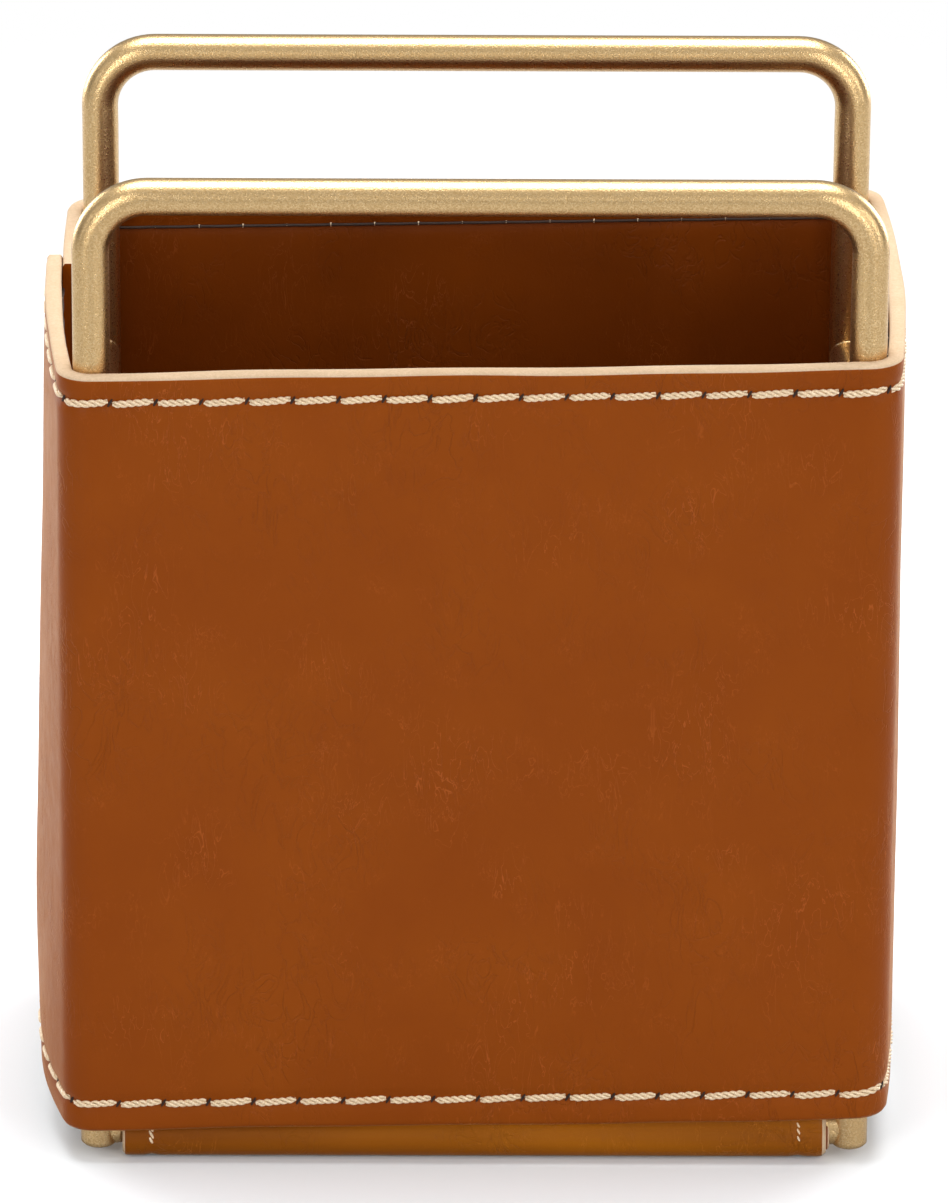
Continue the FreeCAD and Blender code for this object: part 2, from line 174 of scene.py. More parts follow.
# Linear colours: the darker and lighter tones that a noise mixes, and a cloud over them.
GOLD_TONES, GOLD_CLOUD = ((0.50, 0.315, 0.13), (0.83, 0.60, 0.32)), (0.62, 0.42, 0.19)
BRAZE_TONES = (0.55, 0.38, 0.18), (0.9, 0.72, 0.45)
SLEEVE_TONES = (0.222, 0.044, 0.0006), (0.246, 0.052, 0.0010)
LINING_TONES = (0.150, 0.029, 0.0005), (0.185, 0.037, 0.0008)
BASE_TONES = (0.175, 0.042, 0.0006), (0.345, 0.106, 0.002)
EDGE_TONES, EDGE_CLOUD = ((0.52, 0.375, 0.24), (0.63, 0.465, 0.315)), (0.47, 0.33, 0.20)
THREAD_TONES = (0.62, 0.41, 0.22), (0.95, 0.80, 0.58)
BOBBIN_TONES = (0.012, 0.006, 0.004), (0.05, 0.02, 0.01)
# Near black: painted shade for the dark inside of the needle holes, given to the slit lenses.
HOLE_SHADE_TONES = (0.012, 0.004, 0.002), (0.03, 0.010, 0.004)
BOARD_TONES = (0.30, 0.21, 0.13), (0.48, 0.37, 0.26)
SHEEN, SHEEN_WEIGHT, SHEEN_ROUGHNESS = (1.0, 0.55, 0.22), 0.30, 0.32
LEATHER_SPECULAR = 0.10
GLOSS_SPREAD = 0.10  # how much rougher the leather's blotches get
PALE_GAIN, PALE_LIFT = 1.7, 0.02  # the colour of the painted crease highlights, from the leather's light tone
# How much of that pale colour the two sets of painted crease highlights mix in.
CREASE_HIGHLIGHT_SHARE, FINE_CREASE_HIGHLIGHT_SHARE = 0.64, 0.45
NOISE_LOW, NOISE_HIGH = 0.3, 0.7  # most of a noise lies between these


class Nodes:
    """A material's node tree, with short ways to add and join its nodes."""

    def __init__(self, name):
        self.material = bpy.data.materials.new(name)
        self.material.use_nodes = True
        self.tree = self.material.node_tree
        self.shader = self.tree.nodes["Principled BSDF"]
        self.place = self.add("ShaderNodeTexCoord").outputs["Object"]

    def add(self, kind, **values):
        node = self.tree.nodes.new(kind)
        for key, value in values.items():
            setattr(node, key, value)
        return node

    def join(self, value, socket):
        if isinstance(value, bpy.types.NodeSocket):
            self.tree.links.new(value, socket)
        else:
            socket.default_value = value

    def stretched(self, scale):
        node = self.add("ShaderNodeMapping")
        self.join(self.place, node.inputs["Vector"])
        node.inputs["Scale"].default_value = scale
        return node.outputs["Vector"]

    def noise(self, size_mm, detail=3.0, roughness=0.55, place=None, distortion=0.0):
        """Noise whose coarsest blobs are about size_mm across, from 0 to 1."""
        node = self.add("ShaderNodeTexNoise")
        self.join(place or self.place, node.inputs["Vector"])
        node.inputs["Scale"].default_value = 1 / (size_mm * MM)
        node.inputs["Detail"].default_value = detail
        node.inputs["Roughness"].default_value = roughness
        node.inputs["Distortion"].default_value = distortion
        return node.outputs["Fac"]

    def cells(self, size_mm, place):
        node = self.add("ShaderNodeTexVoronoi")
        self.join(place, node.inputs["Vector"])
        node.inputs["Scale"].default_value = 1 / (size_mm * MM)
        return node.outputs["Distance"]

    def span(self, value, low=NOISE_LOW, high=NOISE_HIGH, new_low=0.0, new_high=1.0):
        """Map low..high to new_low..new_high, held at its ends."""
        node = self.add("ShaderNodeMapRange")
        self.join(value, node.inputs["Value"])
        node.inputs["From Min"].default_value = low
        node.inputs["From Max"].default_value = high
        node.inputs["To Min"].default_value = new_low
        node.inputs["To Max"].default_value = new_high
        return node.outputs["Result"]

    def math(self, operation, first, second=0.0):
        node = self.add("ShaderNodeMath", operation=operation)
        self.join(first, node.inputs[0])
        self.join(second, node.inputs[1])
        return node.outputs["Value"]

    def mix(self, amount, first, second):
        """A mix of two colours.  Sockets 6, 7 and 2 are the node's own for colours."""
        node = self.add("ShaderNodeMix", data_type="RGBA")
        self.join(amount, node.inputs[0])
        for value, socket in ((first, node.inputs[6]), (second, node.inputs[7])):
            self.join(value if isinstance(value, bpy.types.NodeSocket) else (*value, 1), socket)
        return node.outputs[2]

    def wrinkle(self, size_mm, upright, width, patches, low, high):
        """Thin wandering lines, longer up the leather by 1 / upright, only where the patches'
        value runs from low to high."""
        place = self.stretched((1.0, 1.0, upright))
        wander = self.noise(size_mm, place=place, distortion=1.4)
        off_line = self.math("ABSOLUTE", self.math("SUBTRACT", wander, 0.5))
        line = self.span(off_line, 0.0, width, 1, 0)
        return self.math("MULTIPLY", line, self.span(patches, low, high))

    def bump(self, height, depth_mm, normal=None):
        node = self.add("ShaderNodeBump")
        node.inputs["Distance"].default_value = depth_mm * MM
        self.join(height, node.inputs["Height"])
        if normal is not None:
            self.join(normal, node.inputs["Normal"])
        return node.outputs["Normal"]

    def finish(self, color, roughness, normal=None, **sockets):
        color_socket = self.shader.inputs["Base Color"]
        self.join(color if isinstance(color, bpy.types.NodeSocket) else (*color, 1), color_socket)
        self.join(roughness, self.shader.inputs["Roughness"])
        if normal is not None:
            self.join(normal, self.shader.inputs["Normal"])
        for key, value in sockets.items():
            title = key.replace("_", " ").title().replace("Ior", "IOR")
            constant = (*value, 1) if isinstance(value, tuple) else value
            self.shader.inputs[title].default_value = constant
        return self.material


def satin_gold():
    """Bead-blasted pale gold: fine grains that catch the light."""
    nodes = Nodes("satin_gold")
    grain = nodes.noise(size_mm=0.22, detail=2, roughness=0.7)
    cloud = nodes.noise(size_mm=7, detail=2)
    tone = nodes.mix(nodes.span(grain), *GOLD_TONES)
    tone = nodes.mix(nodes.span(cloud, new_high=0.25), tone, GOLD_CLOUD)
    roughness = nodes.span(grain, new_low=0.36, new_high=0.24)
    normal = nodes.bump(grain, depth_mm=0.035)
    return nodes.finish(tone, roughness, normal, metallic=1.0)


def braze():
    nodes = Nodes("braze")
    lumps = nodes.noise(size_mm=0.8, detail=3)
    tone = nodes.mix(nodes.span(lumps, low=0.35, high=0.65), *BRAZE_TONES)
    normal = nodes.bump(lumps, depth_mm=0.15)
    return nodes.finish(tone, roughness=0.28, normal=normal, metallic=1.0)


def brown_leather(name, tones, gloss, grain=(1.0, 1.0, 1.0)):
    """Smooth waxed leather: soft cloudy colour, fine pores, creases, and faint pale lines painted
    along thin wrinkles as highlights of fine creases catching the light.
    """
    nodes = Nodes(name)
    dark, light = tones
    along_grain = nodes.stretched(grain)
    cloud = nodes.noise(size_mm=16, roughness=0.5, place=along_grain, distortion=0.3)
    blotch = nodes.noise(size_mm=2.4, detail=4, roughness=0.6, place=along_grain)
    tone = nodes.mix(nodes.span(cloud), dark, light)
    tone = nodes.mix(nodes.span(blotch, low=0.45, high=0.8, new_high=0.20), tone, light)
    pale = tuple(min(1, PALE_GAIN * part + PALE_LIFT) for part in light)
    crease_highlight = nodes.wrinkle(size_mm=1.9, upright=0.30, width=0.010,
                          patches=nodes.noise(size_mm=12, detail=2), low=0.50, high=0.66)
    fine_crease_highlight = nodes.wrinkle(size_mm=0.8, upright=0.45, width=0.016,
                               patches=nodes.noise(size_mm=7), low=0.56, high=0.70)
    crease = nodes.wrinkle(size_mm=3.0, upright=0.55, width=0.030,
                           patches=nodes.noise(size_mm=15, detail=2), low=0.40, high=0.62)
    # Painted highlights: the pale colour is mixed in along thin wrinkles, where fine creases would
    # catch the light.
    tone = nodes.mix(nodes.math("MULTIPLY", crease_highlight, CREASE_HIGHLIGHT_SHARE), tone, pale)
    tone = nodes.mix(nodes.math("MULTIPLY", fine_crease_highlight, FINE_CREASE_HIGHLIGHT_SHARE), tone, pale)
    pores = nodes.cells(size_mm=0.30, place=along_grain)
    normal = nodes.bump(pores, depth_mm=0.012)
    normal = nodes.bump(nodes.math("MULTIPLY", crease, -1.0), depth_mm=0.055, normal=normal)
    normal = nodes.bump(crease_highlight, depth_mm=0.03, normal=normal)
    normal = nodes.bump(nodes.noise(size_mm=5, detail=2), depth_mm=0.10, normal=normal)
    roughness = nodes.span(blotch, new_low=gloss, new_high=gloss + GLOSS_SPREAD)
    return nodes.finish(tone, roughness, normal, specular_ior_level=LEATHER_SPECULAR,
                        sheen_weight=SHEEN_WEIGHT, sheen_roughness=SHEEN_ROUGHNESS,
                        sheen_tint=SHEEN)


def raw_edge():
    """The cut edge of the leather: pale, close fibres."""
    nodes = Nodes("raw_edge")
    fibre = nodes.noise(size_mm=0.35, detail=4, roughness=0.7)
    cloud = nodes.noise(size_mm=4, detail=2)
    tone = nodes.mix(nodes.span(fibre), *EDGE_TONES)
    tone = nodes.mix(nodes.span(cloud, low=0.4, new_high=0.3), tone, EDGE_CLOUD)
    normal = nodes.bump(fibre, depth_mm=0.06)
    return nodes.finish(tone, 0.85, normal, specular_ior_level=LEATHER_SPECULAR)


def waxed_thread():
    nodes = Nodes("waxed_thread")
    fibre = nodes.noise(size_mm=0.18, roughness=0.7)
    tone = nodes.mix(nodes.span(fibre), *THREAD_TONES)
    return nodes.finish(tone, roughness=0.38, normal=nodes.bump(fibre, depth_mm=0.03))


def dark_thread():
    nodes = Nodes("bobbin_thread")
    fibre = nodes.noise(size_mm=0.2)
    tone = nodes.mix(nodes.span(fibre), *BOBBIN_TONES)
    return nodes.finish(tone, roughness=0.6, normal=nodes.bump(fibre, depth_mm=0.04))


# The slit lenses' material: painted shade, near black where the needle holes would be dark inside.
def needle_hole_shade():
    nodes = Nodes("needle_hole_shade")
    fibre = nodes.noise(size_mm=0.3, detail=2)
    return nodes.finish(nodes.mix(fibre, *HOLE_SHADE_TONES), roughness=0.8)


def fibreboard():
    nodes = Nodes("fibreboard")
    fleck = nodes.noise(size_mm=0.8, detail=4)
    normal = nodes.bump(fleck, depth_mm=0.05)
    return nodes.finish(nodes.mix(fleck, *BOARD_TONES), roughness=0.85, normal=normal)


GOLD = satin_gold()
BRAZE = braze()
LEATHER = brown_leather("sleeve_leather", SLEEVE_TONES, gloss=0.36)
INSIDE = brown_leather("lining_leather", LINING_TONES, gloss=0.40)
BASE_LEATHER = brown_leather("base_leather", BASE_TONES, gloss=0.34, grain=(0.16, 1.0, 1.0))
EDGE = raw_edge()
THREAD = waxed_thread()
BOBBIN = dark_thread()
HOLE_SHADE = needle_hole_shade()
BOARD = fibreboard()


# ------------------------------------------------------------------ rod frame

ROD_SIDES = 48
BEND_POINTS, LEG_POINTS, BAR_POINTS, TIE_RINGS = 17, 28, 24, 25
RUN_GAP = 2.0  # a straight run's points stop short of its bends
TOE_IN = 0.4  # the legs close in a little towards their feet
FOOT_BREAK = 0.3  # the broken edge at a leg's cut end
BEAD_RINGS, BEAD_SIDES = 40, 12
BEAD_SIZE, BEAD_LUMP = 0.20, 0.04  # a braze bead's section radius, and its unevenness
BEAD_LUMPS = 3  # how many times it swells round the tie
BEAD_SINK, BEAD_HUG = 0.1, 0.85  # into the tie, and how far it follows the leg round
FILLET_RINGS, FILLET_SIDES = 13, 20
FILLET_SIZE = (1.8, 1.9, 1.85)  # half its size along X, Y and Z
FILLET_Z = 2 * ROD - 1.3  # its middle, a little below the base rods' axes
FILLET_SINK = 0.1
FILLET_END = 0.96  # its rings stop just short of its pointed ends


def hoop(name, side):
    """One bent rod: up the left leg, over the bar and down the right leg."""
    y = side * LEG_Y
    turns = np.linspace(0, math.pi / 2, BEND_POINTS)
    inside_x = LEG_X - BEND
    inside_z = BAR_Z - BEND
    ends = [FOOT_Z, FOOT_Z + FOOT_BREAK, FOOT_Z + 2 * FOOT_BREAK]
    leg = ends + list(np.linspace(FOOT_Z + 2 * RUN_GAP, inside_z - RUN_GAP, LEG_POINTS))
    left_bend = [(-inside_x - BEND * math.cos(turn), y, inside_z + BEND * math.sin(turn))
                 for turn in turns]
    bar_x = np.linspace(-inside_x + RUN_GAP, inside_x - RUN_GAP, BAR_POINTS)
    bar = [(x, y, BAR_Z) for x in bar_x]
    half = [(-LEG_X + TOE_IN * (1 - z / BAR_Z), y, z) for z in leg] + left_bend
    path = half + bar + [(-x, y, z) for x, y, z in reversed(half)]
    radii = np.full(len(path), ROD)
    radii[[0, -1]] = ROD - FOOT_BREAK
    shape = Shape()
    tube(shape, path, radii, ROD_SIDES, first_side=(0, 1, 0))
    shape.build(name + "_rod", [GOLD], [name])


def tie(name, side, height):
    """A short rod between two legs, its ends coped round them."""
    turns = np.arange(ROD_SIDES) * 2 * math.pi / ROD_SIDES
    across = ROD * np.cos(turns)
    up = ROD * np.sin(turns)
    reach = LEG_Y - np.sqrt(np.maximum(ROD ** 2 - across ** 2, 0))
    rings = []
    for share in np.linspace(-1, 1, TIE_RINGS):
        rings.append(np.stack([side * LEG_X + across, share * reach, height + up], axis=1))
    shape = Shape()
    shape.loops(rings)
    shape.build(name + "_rod", [GOLD], [name])


def braze_bead(shape, center, side_y):
    """A lumpy ring of braze round a tie, where it meets a leg."""
    turns = np.linspace(0, 2 * math.pi, BEAD_RINGS, endpoint=False)
    spin = np.linspace(0, 2 * math.pi, BEAD_SIDES, endpoint=False)
    phase = center[2] + center[0]
    rings = []
    for turn in turns:
        swell = BEAD_LUMP * math.sin(BEAD_LUMPS * turn + phase)
        lump = BEAD_SIZE + swell + BEAD_LUMP * rng.random()
        out_x = math.cos(turn) * (ROD - BEAD_SINK)
        out_z = math.sin(turn) * (ROD - BEAD_SINK)
        back = ROD - math.sqrt(ROD ** 2 - (BEAD_HUG * ROD * math.cos(turn)) ** 2)
        rings.append(np.stack([
            center[0] + out_x + lump * np.cos(spin) * math.cos(turn),
            center[1] + side_y * back + lump * np.sin(spin),
            center[2] + out_z + lump * np.cos(spin) * math.sin(turn)], axis=1))
    shape.loops(rings, caps=False, closed=True)


def braze_beads():
    shape = Shape()
    for node in ("upper_left_tie", "lower_left_tie"):
        low, high = box_mm(node)
        for side_x in (-1, 1):
            for side_y in (-1, 1):
                center = (side_x * LEG_X, side_y * (LEG_Y - ROD), (low[2] + high[2]) / 2)
                braze_bead(shape, center, side_y)
    shape.build("braze_fillets", [BRAZE], ["braze_beads"])


def foot_fillets():
    """Metal that fills the notch between each leg and the base rod that meets it."""
    shape = Shape()
    turns = np.arange(FILLET_SIDES) * 2 * math.pi / FILLET_SIDES
    size_x, size_y, size_z = FILLET_SIZE
    for side_x in (-1, 1):
        for side_y in (-1, 1):
            rings = []
            for share in np.linspace(-FILLET_END, FILLET_END, FILLET_RINGS):
                size = math.sqrt(1 - share ** 2)
                x = side_x * (LEG_X - ROD - TOE_IN) + size_x * share
                rings.append(np.stack([
                    np.full(FILLET_SIDES, x),
                    side_y * (LEG_Y - FILLET_SINK) + size_y * size * np.cos(turns),
                    FILLET_Z + size_z * size * np.sin(turns)], axis=1))
            shape.loops(rings)
    shape.build("foot_fillets", [GOLD], ())


# ------------------------------------------------------------------ sleeve

SLANT = math.tan(math.radians(1.04))  # the sleeve sits askew, higher on the right
TIP = 0.0125  # and a little higher at the rear
LAP_REACH_FLOOR = 6.85  # the left wall bulges more towards its bottom
LAP_REACH_FALL = 0.0205
LAP_CREST_FLOOR = -2.0  # and nearer the front
LAP_CREST_RISE = 0.11
LAP_HEM, LAP_HEM_TOP = 0.85, 31.0  # its hem draws in again below this height
LAP_GAP = 0.08
LAP_START, LAP_END = 7.5, 13.0
REAR_SLACK = 0.7  # how far the rear wall stands off the legs
RIGHT_FALL, RIGHT_FALL_FOOT = 0.005, 30.0  # the right wall flattens above this height
FLAP_CORNER = 3.2  # radius of the corners at the strip's outer end
COLUMN = 0.8  # spacing of the mesh along the sleeve
ARC_POINTS = (26, 9, 9, 32, 32, 9, 9, 44)  # mesh points on each arc of its path, in order
WALL_ROWS = 52  # mesh rows between the two edges' own
EDGE_STEPS = [0.0, 0.35, 0.8, 1.3, 1.8, 2.3, 2.7, 3.1, 3.5, 3.9, 4.4, 5.0, 5.8, 6.8]
EDGE_ROUND = 0.22
EDGE_WAVES = ((0.10, 11.0, 0), (0.05, 3.7, 1))  # the edges' waver: height, length and phase

TOP_ROW = SLEEVE_TOP - 3.1
BOTTOM_ROW = SLEEVE_BOTTOM + 3.3
TOP_PITCH, TOP_HOLE = 5.1, 41.3  # stitch length, and a hole's place on the front
BOTTOM_PITCH, BOTTOM_HOLE = 5.145, 40.8
SEAM_PITCH, SEAM_Y = 4.2, 10.0
SEAM_POINTS = 30  # the seam lies among this many last points of the path
SEAM_START, SEAM_STOP = 1.6, 1.0  # the seam's clearance from the two rows
ROW_START, ROW_STOP = 1.0, 1.2  # a row's clearance from the lap's end, either side

TROUGH, PIT, PULL = 0.30, 0.16, 0.8  # depth along a row, more at its holes, and width
TROUGH_PAST = 1.0  # how far the trough runs past the end holes
SEAM_TROUGH, SEAM_PULL = 0.12, 0.9
SEAM_STRETCH = LAP_END + 3  # the last stretch of the strip, where the seam is
SWELL, SWELL_ALONG, SWELL_UP = 0.05, 7.3, 9  # broad unevenness: depth and wave lengths
SWELL_SWAY, SWELL_SWAY_UP, SWELL_PHASE = 1.1, 13, 0.6
RIPPLE, RIPPLE_ALONG, RIPPLE_UP = 0.035, 3.1, 5.7
LINING_RELIEF = 0.7  # how much of all that the lining shows


def bow(side, reach, crest_y, leg_y):
    """A wall's arc, tangent to the arc round a leg: its centre, radius and turn at the leg."""
    crest = abs(leg_y - crest_y)
    radius = (crest ** 2 + reach ** 2 - CORNER ** 2) / (2 * (reach - CORNER))
    center = np.array([side * (LEG_X + reach - radius), crest_y])
    turn = math.degrees(math.atan2(leg_y - crest_y, side * LEG_X - center[0])) % 360
    return center, radius, turn


def sleeve_path(height):
    """The glue line at a height, from the strip's inner end clockwise to its outer end:
    points, outward directions, and distance along the leather from the front's middle."""
    hem = max(0.0, (LAP_HEM_TOP - height) / (LAP_HEM_TOP - SLEEVE_BOTTOM))
    lap_reach = LAP_REACH_FLOOR - LAP_REACH_FALL * height - LAP_HEM * hem ** 2
    crest = LAP_CREST_FLOOR + LAP_CREST_RISE * height
    tuck_reach = lap_reach - SKIN - LINING - LAP_GAP
    rear_y = LEG_Y + REAR_SLACK
    right_reach = RIGHT_REACH - RIGHT_FALL * max(0.0, height - RIGHT_FALL_FOOT)
    tuck, tuck_radius, tuck_turn = bow(-1, tuck_reach, crest, rear_y)
    right_rear, rear_radius, rear_turn = bow(1, right_reach, 0, rear_y)
    right_front, front_radius, front_turn = bow(1, right_reach, 0, LEG_Y)
    lap, lap_radius, lap_turn = bow(-1, lap_reach, crest, -LEG_Y)
    tuck_start = 180 + math.degrees(math.asin((crest - LAP_START) / tuck_radius))
    lap_stop = 180 - math.degrees(math.asin((LAP_END - crest) / lap_radius))
    runs = [
        (tuck, tuck_radius, tuck_start, tuck_turn),
        ((-LEG_X, rear_y), CORNER, tuck_turn, 90),
        ((LEG_X, rear_y), CORNER, 90, rear_turn),
        (right_rear, rear_radius, rear_turn, 0),
        (right_front, front_radius, 0, -front_turn),
        ((LEG_X, -LEG_Y), CORNER, -front_turn, -90),
        ((-LEG_X, -LEG_Y), CORNER, 270, lap_turn),
        (lap, lap_radius, lap_turn, lap_stop),
    ]
    points = []
    normals = []
    for (center, radius, start, stop), count in zip(runs, ARC_POINTS):
        turns = np.radians(np.linspace(start, stop, count))
        outward = np.stack([np.cos(turns), np.sin(turns)], axis=1)
        arc = np.asarray(center) + radius * outward
        if points and np.linalg.norm(arc[0] - points[-1][-1]) > 2 * COLUMN:
            flat = run_between(points[-1][-1], arc[0])
            points.append(flat)
            normals.append(np.tile(outward[0], (len(flat), 1)))
        elif points:
            arc = arc[1:]
            outward = outward[1:]
        points.append(arc)
        normals.append(outward)
    points = np.concatenate(points)
    normals = np.concatenate(normals)
    steps = np.linalg.norm(np.diff(points, axis=0), axis=1)
    along = np.concatenate([[0], np.cumsum(steps)])
    front_index = np.argmin(np.where(points[:, 1] > 0, np.inf, np.abs(points[:, 0])))
    along -= along[front_index] + points[front_index, 0]
    return points, normals, along


def run_between(start, stop):
    """Evenly spaced points strictly between two ends of a flat wall."""
    count = int(np.linalg.norm(stop - start) / COLUMN)
    shares = (np.arange(count - 1) + 1) / count
    return start + shares[:, None] * (stop - start)


def askew(points):
    """Tip the straight sleeve to sit as it was slid on."""
    points = np.array(points, float)
    points[..., 2] += SLANT * points[..., 0] + TIP * (points[..., 1] + LEG_Y)
    return points


def row_span(height):
    """How far a stitch row runs: from just beyond the lap's end, round to that end."""
    points, _, along = sleeve_path(height)
    rear_part = points[:, 1] > LAP_END + ROW_START
    start = along[np.argmax(rear_part)]
    return start, along[-1] - ROW_STOP


def hole_places(height, pitch, front_hole):
    start, stop = row_span(height)
    first = math.ceil((start - front_hole) / pitch)
    last = math.floor((stop - front_hole) / pitch)
    return front_hole + pitch * np.arange(first, last + 1)


TOP_HOLES = hole_places(TOP_ROW, TOP_PITCH, TOP_HOLE)
BOTTOM_HOLES = hole_places(BOTTOM_ROW, BOTTOM_PITCH, BOTTOM_HOLE)
SEAM_HOLES = np.arange(BOTTOM_ROW + SEAM_START, TOP_ROW - SEAM_STOP, SEAM_PITCH)


def pull_in(along, height, holes, row):
    """How deep a thread row draws the leather in, deepest at its holes."""
    off_row = abs(height - row)
    nearest = np.min(np.abs(along[:, None] - holes[None, :]), axis=1)
    within = (along > holes[0] - TROUGH_PAST) & (along < holes[-1] + TROUGH_PAST)
    trough = TROUGH * np.exp(-(off_row / PULL) ** 2)
    pit = PIT * np.exp(-(off_row / PULL) ** 2) * np.exp(-(nearest / PULL) ** 2)
    return np.where(within, trough + pit, 0.0)


def leather_relief(points, along, height):
    """Height of the leather's face over its plain shape: thread rows and soft unevenness."""
    relief = -pull_in(along, height, TOP_HOLES, TOP_ROW)
    relief -= pull_in(along, height, BOTTOM_HOLES, BOTTOM_ROW)
    sway = SWELL_SWAY * math.sin(height / SWELL_SWAY_UP)
    relief += SWELL * np.sin(along / SWELL_ALONG + sway) * math.sin(height / SWELL_UP + SWELL_PHASE)
    relief += RIPPLE * np.sin(along / RIPPLE_ALONG + height / RIPPLE_UP)
    on_lap = along > along[-1] - SEAM_STRETCH
    seam = SEAM_TROUGH * np.exp(-((points[:, 1] - SEAM_Y) / SEAM_PULL) ** 2)
    return relief - np.where(on_lap, seam, 0.0)


def edge_heights():
    """Mesh rows up the sleeve: close together near the two edges, wider between."""
    low = [SLEEVE_BOTTOM + step for step in EDGE_STEPS]
    high = [SLEEVE_TOP - step for step in reversed(EDGE_STEPS)]
    return np.array(low + list(np.linspace(low[-1], high[0], WALL_ROWS))[1:-1] + high)


def flap_shrink(along):
    """How much the strip's outer end is cut back at its rounded corners."""
    into = np.clip(FLAP_CORNER - (along[-1] - along), 0, FLAP_CORNER)
    return FLAP_CORNER - np.sqrt(FLAP_CORNER ** 2 - into ** 2)


def strip_layer(name, face_depth, face_material, cad_node):
    """One layer of the sleeve's strip, from the glue line to its finished face."""
    heights = edge_heights()
    middle = (SLEEVE_TOP + SLEEVE_BOTTOM) / 2
    outward = math.copysign(1, face_depth)
    face_rows = []
    glue_rows = []
    for height in heights:
        points, normals, along = sleeve_path(height)
        shrink = flap_shrink(along)
        scale = 1 - shrink / (middle - SLEEVE_BOTTOM)
        z = middle + (height - middle) * scale
        waver = sum(rise * np.sin(along / length + phase) for rise, length, phase in EDGE_WAVES)
        z = z + waver * abs(height - middle) / (middle - SLEEVE_BOTTOM)
        relief = leather_relief(points, along, height) * (1 if outward > 0 else LINING_RELIEF)
        from_edge = min(height - SLEEVE_BOTTOM, SLEEVE_TOP - height)
        rounding = EDGE_ROUND if from_edge == 0 else 0.0
        depth = face_depth + outward * (relief - rounding)
        face_rows.append(np.column_stack([points + normals * depth[:, None], z]))
        glue_rows.append(np.column_stack([points, z]))
    face_rows = np.array(face_rows)
    glue_rows = np.array(glue_rows)
    rings = np.concatenate([face_rows, glue_rows[::-1]]).transpose(1, 0, 2)
    rows = len(heights)
    ring_slots = [0] * (2 * rows)
    for edge_side in (rows - 2, rows - 1, 2 * rows - 1):
        ring_slots[edge_side] = 1
    shape = Shape()
    shape.loops(askew(rings), ring_slots=ring_slots, caps=False)
    count, sides = rings.shape[:2]
    caps = []
    for base, flip in ((0, True), ((count - 1) * sides, False)):
        for row in range(rows - 1):
            quad = (base + row, base + row + 1, base + sides - 2 - row, base + sides - 1 - row)
            caps.append(tuple(reversed(quad)) if flip else quad)
    shape.faces += caps
    # The strip's inner end, at the tuck, takes the face leather's brown rather than the pale cut
    # edge's colour: painted shade, as that end lies in shadow between the lap and the leg. The
    # outer end shows the cut edge.
    shape.slots += [0] * (rows - 1) + [1] * (rows - 1)
    shape.build(name, [face_material, EDGE], [cad_node])


# ------------------------------------------------------------------ stitches

PLIES = 3
PLY_RADIUS = 0.195
PLY_OFFSET = 0.265  # each ply's middle from the thread's
PLY_FLAT = 0.8  # how flat the thread is pressed on the leather
PLY_TWIST = 2.5
PLY_SIDES = 7
STITCH_STEPS = 22
THREAD_LIFT, THREAD_DIVE = -0.24, -0.42  # height of a stitch along its length, and at its ends
DIVE_LENGTH = 0.75
PINCH, FULLNESS = 0.72, 0.28  # its thickness at its ends, and what it gains between
LEAN_SPREAD, BOW_SPREAD = 0.35, 0.05  # how much stitches differ in lean and in bow
LIFT_SPREAD = (0.85, 1.15)
STITCH_GAP = 0.28
STITCH_SLANT, SEAM_SLANT, BASE_SLANT = -0.17, -0.10, 0.08

SLIT_LENGTH, SLIT_WIDTH, SLIT_LEAN = 1.15, 0.30, 0.55
SLIT_RINGS = ((1.0, -0.10), (0.8, 0.02), (0.4, 0.03), (0.05, 0.03))  # share of size, height
SLIT_SIDES = 16
ROW_SINK, SEAM_SINK = 0.24, 0.10  # how deep the slits lie
AHEAD = 0.1  # a short step along a row, which gives its direction

BOBBIN_STEPS, BOBBIN_SIDES, BOBBIN_RADIUS = 9, 8, 0.17
BOBBIN_LIFT, BOBBIN_BOW = 0.10, 0.10  # off the lining at its ends, and more between
LOOP_STEPS, LOOP_SIDES, LOOP_RADIUS = 7, 7, 0.11
LOOP_HALF = (0.06, 0.18)  # the least and most of a loop's half length
LOOP_LIFT, LOOP_DIVE = 0.17, 0.16


def on_sleeve(height, depth):
    """A function of distance along the leather: place, outward and upward directions."""
    points, normals, along = sleeve_path(height)

    def place(distance):
        point = [np.interp(distance, along, points[:, axis]) for axis in range(2)]
        outward = unit([np.interp(distance, along, normals[:, axis]) for axis in range(2)])
        spot = np.array([point[0] + outward[0] * depth, point[1] + outward[1] * depth, height])
        return askew(spot), np.array([outward[0], outward[1], 0.0]), np.array([0, 0, 1.0])

    return place


def on_seam(distance):
    """The same for the vertical row in the lap, where distance is the height."""
    points, normals, _ = sleeve_path(distance)
    lap = slice(-SEAM_POINTS, None)
    row = np.interp(SEAM_Y, points[lap, 1], np.arange(len(points))[lap])
    index = int(row)
    outward = np.array([*unit(normals[index]), 0.0])
    point = points[index] + (row - index) * (points[index + 1] - points[index])
    spot = np.array([*(point + outward[:2] * SKIN), distance])
    across = np.cross(outward, (0, 0, 1.0))
    return askew(spot), outward, across


